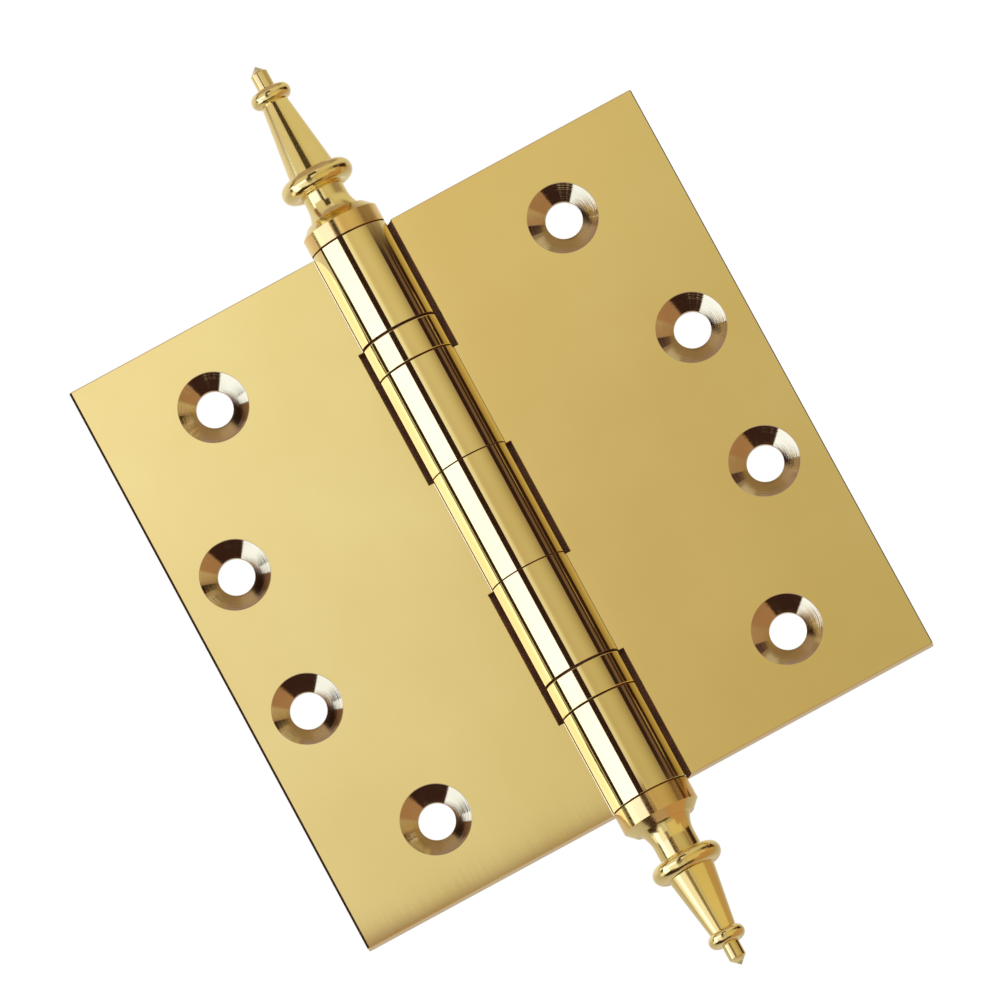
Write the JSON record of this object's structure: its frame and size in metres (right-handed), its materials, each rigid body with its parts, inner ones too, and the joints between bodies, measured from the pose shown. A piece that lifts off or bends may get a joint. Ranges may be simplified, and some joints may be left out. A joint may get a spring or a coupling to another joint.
{
  "type": "ball bearing butt hinge",
  "caption": "Polished brass butt hinge with interleaved knuckles on a steel pin, caged ball bearing rings, turned steeple finials and countersunk screw holes.",
  "frame": {"origin": "on the pin axis at the mid height of the leaves", "axes": "+Z along the pin towards the top finial, X across the open leaves with the frame leaf at -X, countersunk faces towards -Y; modelled open flat"},
  "size_m": [0.1016, 0.013, 0.1644],
  "materials": {
    "polished_brass": "polished",
    "turned_brass": "turned, lightly polished",
    "shell_brass": "polished",
    "cage_brass": "stamped",
    "pin_steel": "ground",
    "bearing_steel": "hardened and polished"
  },
  "bodies": {
    "frame": {"frame_leaf": "polished_brass", "hinge_pin": "pin_steel", "top_finial": "turned_brass", "bottom_finial": "turned_brass", "top_bearing_upper_race": "bearing_steel", "bottom_bearing_shell": "shell_brass", "bottom_bearing_lower_race": "bearing_steel"},
    "door": {"door_leaf": "polished_brass", "top_bearing_shell": "shell_brass", "top_bearing_lower_race": "bearing_steel", "bottom_bearing_upper_race": "bearing_steel"},
    "top_cage": {"top_bearing_cage": "cage_brass", "top_bearing_ball_01": "bearing_steel", "top_bearing_ball_02": "bearing_steel", "top_bearing_ball_03": "bearing_steel", "top_bearing_ball_04": "bearing_steel", "top_bearing_ball_05": "bearing_steel", "top_bearing_ball_06": "bearing_steel", "top_bearing_ball_07": "bearing_steel", "top_bearing_ball_08": "bearing_steel", "top_bearing_ball_09": "bearing_steel", "top_bearing_ball_10": "bearing_steel", "top_bearing_ball_11": "bearing_steel", "top_bearing_ball_12": "bearing_steel"},
    "bottom_cage": {"bottom_bearing_cage": "cage_brass", "bottom_bearing_ball_01": "bearing_steel", "bottom_bearing_ball_02": "bearing_steel", "bottom_bearing_ball_03": "bearing_steel", "bottom_bearing_ball_04": "bearing_steel", "bottom_bearing_ball_05": "bearing_steel", "bottom_bearing_ball_06": "bearing_steel", "bottom_bearing_ball_07": "bearing_steel", "bottom_bearing_ball_08": "bearing_steel", "bottom_bearing_ball_09": "bearing_steel", "bottom_bearing_ball_10": "bearing_steel", "bottom_bearing_ball_11": "bearing_steel", "bottom_bearing_ball_12": "bearing_steel"}
  },
  "joints": [
    {"name": "leaf_swing", "type": "hinge", "parent": "frame", "child": "door", "pos_m": [0, 0, 0], "axis": [0, 0, 1], "range_deg": [-180, 105]},
    {"name": "top_cage_roll", "type": "hinge", "parent": "frame", "child": "top_cage", "pos_m": [0, 0, 0.03085], "axis": [0, 0, 1], "range_deg": [-90, 52.5]},
    {"name": "bottom_cage_roll", "type": "hinge", "parent": "frame", "child": "bottom_cage", "pos_m": [0, 0, -0.03085], "axis": [0, 0, 1], "range_deg": [-90, 52.5]}
  ],
  "couplings": [
    {"joint": "top_cage_roll", "follows": "leaf_swing", "ratio": 0.5},
    {"joint": "bottom_cage_roll", "follows": "leaf_swing", "ratio": 0.5}
  ]
}
